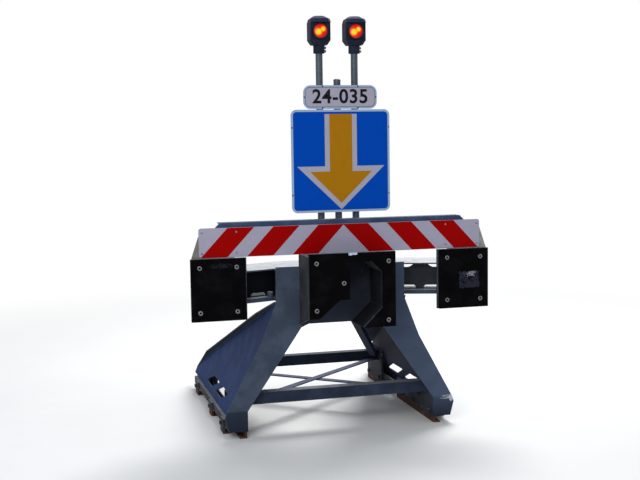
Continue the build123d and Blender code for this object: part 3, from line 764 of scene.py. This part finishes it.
fixings("clamp_bolts", clamp_bolt, [(RIGHT, [(x + lug_half, lug_y, z) for x, z in clamp_spots]),
                                    (LEFT, [(x - lug_half, lug_y, z) for x, z in clamp_spots])],
        galvanised, "galvanised", 16)
# The middle post's seam is only its right half, because welds adds the left one.
post_seam = [(post_x + cap_outer * cos(i * pi / 12), post_y + cap_outer * sin(i * pi / 12),
              posts_low.z + 0.001) for i in range(25)]
middle_seam = [(x - post_x, y, z) for x, y, z in post_seam[18:24] + post_seam[:7]]
welds("post_welds", [post_seam, middle_seam], galvanised, 17)

# Signs: a blue sheet with a pale border and a yellow arrow edged in white, and above it a white
# plate with plain numerals. Aluminium sheet covered with reflective film and riveted to the clamps.
blue_film = reflective_film("blue_reflective_film", "#0044AA", "#003A9C", 0.80)
yellow_film = reflective_film("yellow_reflective_film", "#A5700F", "#97640B", 0.80)
edge_white = reflective_film("pale_reflective_film", "#A19FAE", "#9593A2", 0.76)
rim_white = reflective_film("pale_blue_reflective_film", "#97ABC6", "#8B9FBB", 0.76)
black_film = mottled("black_film", "#0D0F15", "#1A1C23", 0.03, 0.4, 0.8, 0.55, gloss=0.08)
sign_low, sign_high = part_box("arrow_sign")
plate_low, plate_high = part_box("number_plate")
finish_nodes(aluminium, "arrow_sign", "number_plate")
film_shapes("blue_field", [rounded_sheet(sign_low, sign_high, 0.0, 0.040, sheet_inset)],
            sign_low.y, blue_film, "sign_blue")
film_shapes("plate_field", [rounded_sheet(plate_low, plate_high, 0.0, 0.050, sheet_inset)],
            plate_low.y, edge_white, "plate_white")


def rounded_ring(low, high, margin, radius, width):
    """Quads that make a rounded border, margin inside a sheet's edge."""
    outer = rounded_sheet(low, high, margin, radius, 0.0)
    inner = rounded_sheet(low, high, margin, radius, width)
    next_outer, next_inner = outer[1:] + outer[:1], inner[1:] + inner[:1]
    return [list(quad) for quad in zip(outer, next_outer, next_inner, inner)]


def arrow(shaft, head, top, shoulder, tip):
    """A downward arrow's outline, from half the shaft's and head's widths and three heights."""
    right = [(shaft, top), (shaft, shoulder), (head, shoulder)]
    return right + [(0.0, tip)] + mirrored(right)[::-1]


on_sign, on_plate = sign_low.y - film_thick, plate_low.y - film_thick
film_shapes("sign_border", rounded_ring(sign_low, sign_high, 0.001, 0.039, 0.014), on_sign,
            rim_white, "sign_blue")
film_shapes("arrow_edge", [arrow(0.114, 0.310, 2.217, 1.862, 1.566)], on_sign, edge_white,
            "sign_blue")
film_shapes("arrow", [arrow(0.080, 0.220, 2.217, 1.826, 1.609)], on_sign - film_thick,
            yellow_film, "sign_blue")
film_shapes("plate_rim", rounded_ring(plate_low, plate_high, 0.001, 0.049, 0.012), on_plate,
            rim_white, "plate_white")
film_shapes("plate_border", rounded_ring(plate_low, plate_high, 0.012, 0.038, 0.0028),
            on_plate - film_thick, black_film, "plate_white")
# Painted sky reflection: the black plastic has a blue cast, bluer still where it faces up.
matt_black = mottled("matt_black_plastic", "#181B2A", "#242A40", 0.06, 0.4, 0.75, 0.6, gloss=0.10)
marked(matt_black, "#2C3756", facing_up, 0.05, 0.6)
rivet = turned("sign_rivet", (14, [(0.0052, 0.0), (0.0050, 0.0012), (0.0036, 0.0024),
                                   (0.0014, 0.0029)]))
# Each row: how far out, on which face, and how high.
rivet_rows = ((0.343, sign_low.y, (1.668, 2.126)), (post_x, plate_low.y, (2.258, 2.404)),
              (0.2535, plate_low.y, (2.331,)))
rivet_places = [(side * x, face, z) for x, face, heights in rivet_rows
                for side in (-1, 1) for z in heights]
fixings("sign_rivets", rivet, [(FRONT, rivet_places)], matt_black, "bare_steel", 18)
figures = bpy.data.curves.new("numerals", "FONT")
figures.body = "24-035"
figures.align_x = "CENTER"
figures.align_y = "CENTER"
figures.size = 0.131
figures.offset = 0.0030
figures.extrude = 0.0002
figures.space_character = 1.08
numerals = plain_mesh(in_scene("numerals", figures), "numerals")
plate_middle = (plate_low + plate_high) / 2
numerals.transform(Matrix.Translation((plate_middle.x, plate_low.y - 0.0007, plate_middle.z))
                   @ Matrix.Rotation(pi / 2, 4, "X"))
numerals.materials.clear()
numerals.materials.append(black_film)
keep_piece("numerals", numerals, "plate_white")

# Lamps: matt black moulded housings with a hood over a recessed front, each clamped on a post.
# The round red lens has rings inside and is lit from behind by a yellow lamp.
lens_low, lens_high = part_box("lamp_lenses")
lens_z, lens_radius = (lens_low.z + lens_high.z) / 2, (lens_high.z - lens_low.z) / 2
for hand in ("left", "right"):
    moulded_copy("lamp_housing_" + hand, "lamp_" + hand, 0.004, matt_black, "lamp_housing")
glowing, shader, place = new_finish("lit_red_lens", "#4A0402", 0.35, gloss=0.2)
tree = glowing.node_tree
apart = add(tree, "ShaderNodeSeparateXYZ", {0: place}).outputs
hand_of = add(tree, "ShaderNodeMath", {0: apart["X"]}, operation="SIGN")
across = add(tree, "ShaderNodeMath", {0: hand_of, 1: -post_x, 2: apart["X"]},
             operation="MULTIPLY_ADD")
above = add(tree, "ShaderNodeMath", {0: apart["Z"], 1: lens_z}, operation="SUBTRACT")
on_lens = add(tree, "ShaderNodeCombineXYZ", {"X": across, "Z": above})


def glow(spot, reach):
    """How far a point of the lens is from one of the lamp's two bright spots, in its radii."""
    gap = add(tree, "ShaderNodeVectorMath", {0: on_lens, 1: spot}, operation="DISTANCE")
    return add(tree, "ShaderNodeMath", {0: gap, 1: reach}, operation="DIVIDE")


left_spot, right_spot = glow((-0.017, 0.0, -0.007), 0.022), glow((0.015, 0.0, 0.012), 0.016)
both = add(tree, "ShaderNodeMath", {0: left_spot, 1: right_spot, 2: 0.9}, operation="SMOOTH_MIN")
halved = add(tree, "ShaderNodeMath", {0: both, 1: 0.5}, operation="MULTIPLY")
heat = add(tree, "ShaderNodeValToRGB", {"Fac": halved})
tones = heat.color_ramp.elements
for stop, (position, tone) in zip(tones, ((0.30, "#FFE01E"), (0.95, "#B80C06"))):
    stop.position, stop.color = position, colour(tone)
for position, tone in ((0.44, "#FFA008"), (0.58, "#F03008")):
    tones.new(position).color = colour(tone)
fill(tree, shader, {"Emission Color": heat, "Emission Strength": 0.95})
dome = [(lens_radius, -0.004), (lens_radius, 0.002)]
for count in range(9):
    reach = lens_radius * (1 - (count + 1) / 10)
    rise = 0.002 + 0.011 * (1 - (reach / lens_radius) ** 2)
    dome += [(reach + 0.0035, rise), (reach + 0.0008, rise + 0.0012)]
lens_shape = turned("lens_shape", (40, dome + [(0.002, 0.0142)]))
lens_seats = [(x, lens_high.y - 0.001, lens_z) for x in (-post_x, post_x)]
lens = fixings("lamp_lens_domes", lens_shape, [(FRONT, lens_seats)], glowing, "lamp_red", 10)
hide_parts("lamp_lenses")
bezel = turned("bezel", (40, [(0.050, -0.010), (0.057, -0.010), (0.057, 0.004), (0.055, 0.007),
                              (0.051, 0.007), (0.0475, 0.003), (0.0475, -0.010)]))
bezel_seats = [(x, lens_high.y - 0.002, lens_z) for x in (-post_x, post_x)]
fixings("lamp_bezels", bezel, [(FRONT, bezel_seats)], matt_black, "lamp_housing", 11)
neck_screw = turned("neck_screw", (6, [(0.009, 0.0), (0.009, 0.010), (0.008, 0.012)]))
neck_half, neck_heights = 0.038, (2.645, 2.668)
neck_spots = [(x + neck_half, post_y, z) for x in (-post_x, post_x) for z in neck_heights]
fixings("neck_screws", neck_screw, [(RIGHT, neck_spots)], zinc, "lamp_housing", 12)

# Studio: a pale floor, a white surround that only the camera, glass and gloss see, and two soft
# lamps. The camera looks from the photograph's own angle.
floor_mesh = bpy.data.meshes.new("floor")
reach = 40
floor_mesh.from_pydata([(-reach, -reach, 0), (reach, -reach, 0), (reach, reach, 0),
                        (-reach, reach, 0)], [], [(0, 1, 2, 3)])
floor = in_scene("floor", floor_mesh)
floor_finish = mottled("pale_floor", "#EAEAE8", "#E6E6E4", 1.5, 0.3, 0.7, 0.8)
tree = floor_finish.node_tree
far_off = add(tree, "ShaderNodeVectorMath", {0: tree.nodes["Texture Coordinate"].outputs["Object"]},
              operation="LENGTH")
paling = add(tree, "ShaderNodeMapRange", {"Value": far_off, "From Min": 2.2, "From Max": 7.5},
             interpolation_type="SMOOTHSTEP")
rays = add(tree, "ShaderNodeLightPath").outputs
by_eye = add(tree, "ShaderNodeMath", {0: paling, 1: rays["Is Camera Ray"]}, operation="MULTIPLY")
plain_white = add(tree, "ShaderNodeEmission", {"Color": (1, 1, 1, 1), "Strength": 1.0})
seamless = add(tree, "ShaderNodeMixShader", {0: by_eye, 1: tree.nodes["Principled BSDF"],
                                             2: plain_white})
fill(tree, tree.nodes["Material Output"], {"Surface": seamless})
floor_mesh.materials.append(floor_finish)
floor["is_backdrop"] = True

world = bpy.data.worlds.new("soft_studio")
bpy.context.scene.world = world
world.use_nodes = True
tree = world.node_tree
sky = fill(tree, tree.nodes["Background"], {"Color": colour("#DDE3EC"), "Strength": 0.62})
white_room = add(tree, "ShaderNodeBackground", {"Color": (1, 1, 1, 1), "Strength": 1.0})
rays = add(tree, "ShaderNodeLightPath").outputs
seen = add(tree, "ShaderNodeMath", {0: rays["Is Camera Ray"], 1: rays["Is Transmission Ray"]},
           operation="MAXIMUM")
seen_or_mirrored = add(tree, "ShaderNodeMath", {0: seen, 1: rays["Is Glossy Ray"]},
                       operation="MAXIMUM")
chosen = add(tree, "ShaderNodeMixShader", {0: seen_or_mirrored, 1: sky, 2: white_room})
fill(tree, tree.nodes["World Output"], {"Surface": chosen})


def soft_lamp(name, place, target, size, power):
    """A square soft lamp aimed at a point."""
    light = bpy.data.lights.new(name, "AREA")
    light.size = size
    light.energy = power
    holder = in_scene(name, light)
    holder.location = place
    holder.rotation_euler = (Vector(target) - Vector(place)).to_track_quat("-Z", "Y").to_euler()


soft_lamp("overhead_lamp", (2.6, 3.2, 6.5), (0, 0, 0.9), 3.5, 520)
soft_lamp("front_lamp", (-4.5, -7.0, 4.5), (0, -0.8, 1.2), 4.0, 260)

view = bpy.data.cameras.new("camera")
view.lens = 60.69
view.sensor_width = 36.0
camera = in_scene("camera", view)
camera_place = (-2.030, -7.918, 2.041)
yaw, pitch, roll = radians(14.72), radians(5.29), radians(-0.84)
forward = Vector((sin(yaw) * cos(pitch), cos(yaw) * cos(pitch), -sin(pitch)))
level_right = Vector((cos(yaw), -sin(yaw), 0))
right = cos(roll) * level_right + sin(roll) * level_right.cross(forward)
up = right.cross(forward)
turned_camera = Matrix((right, up, -forward)).transposed().to_4x4()
camera.matrix_world = Matrix.Translation(camera_place) @ turned_camera
bpy.context.scene.camera = camera
bpy.context.scene.view_settings.view_transform = "Standard"

low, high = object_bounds()
